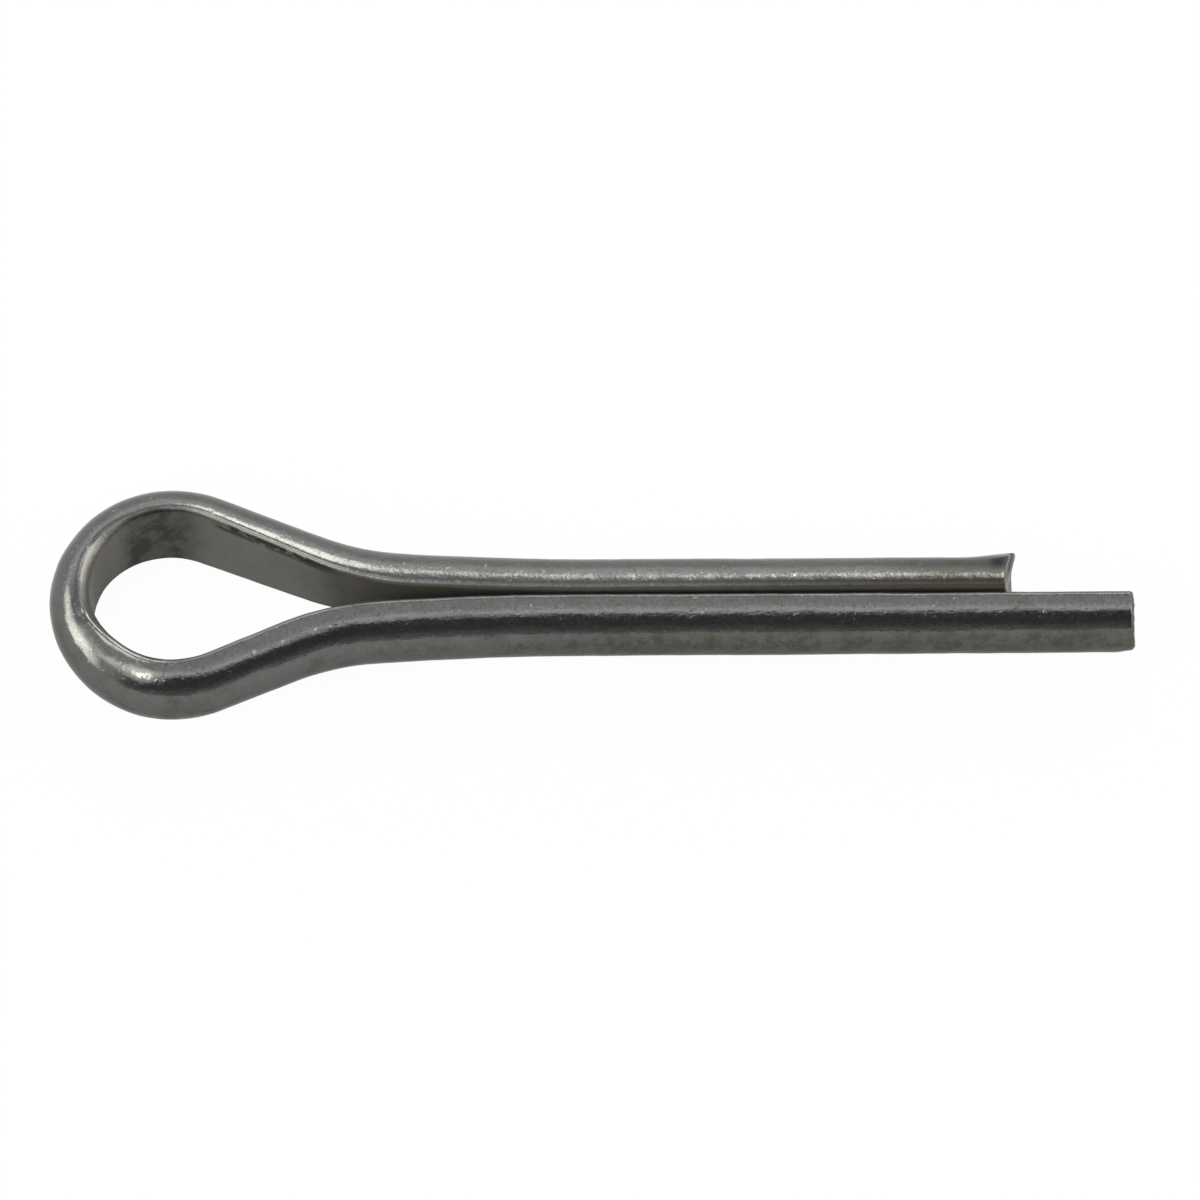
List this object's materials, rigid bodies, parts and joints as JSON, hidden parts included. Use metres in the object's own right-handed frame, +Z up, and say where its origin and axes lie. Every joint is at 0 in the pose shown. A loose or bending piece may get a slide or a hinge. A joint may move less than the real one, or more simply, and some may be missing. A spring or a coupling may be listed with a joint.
{
  "type": "extended-prong cotter pin",
  "caption": "Split pin bent from half-round steel wire, with a round eye and one leg longer than the other.",
  "frame": {"origin": "on the shank's axis, in the plane where the shoulders meet the rim of the hole; the pin's length is measured from there", "axes": "+X along the shank from the eye to the tips, +Y across the legs towards the short leg, +Z up, square to the eye's plane"},
  "size_m": [0.0643, 0.015, 0.0056],
  "materials": {
    "zinc_plated_steel": "zinc plated, dull and slightly weathered, with bright edges"
  },
  "bodies": {
    "root": {"split_wire": "zinc_plated_steel"}
  },
  "joints": []
}
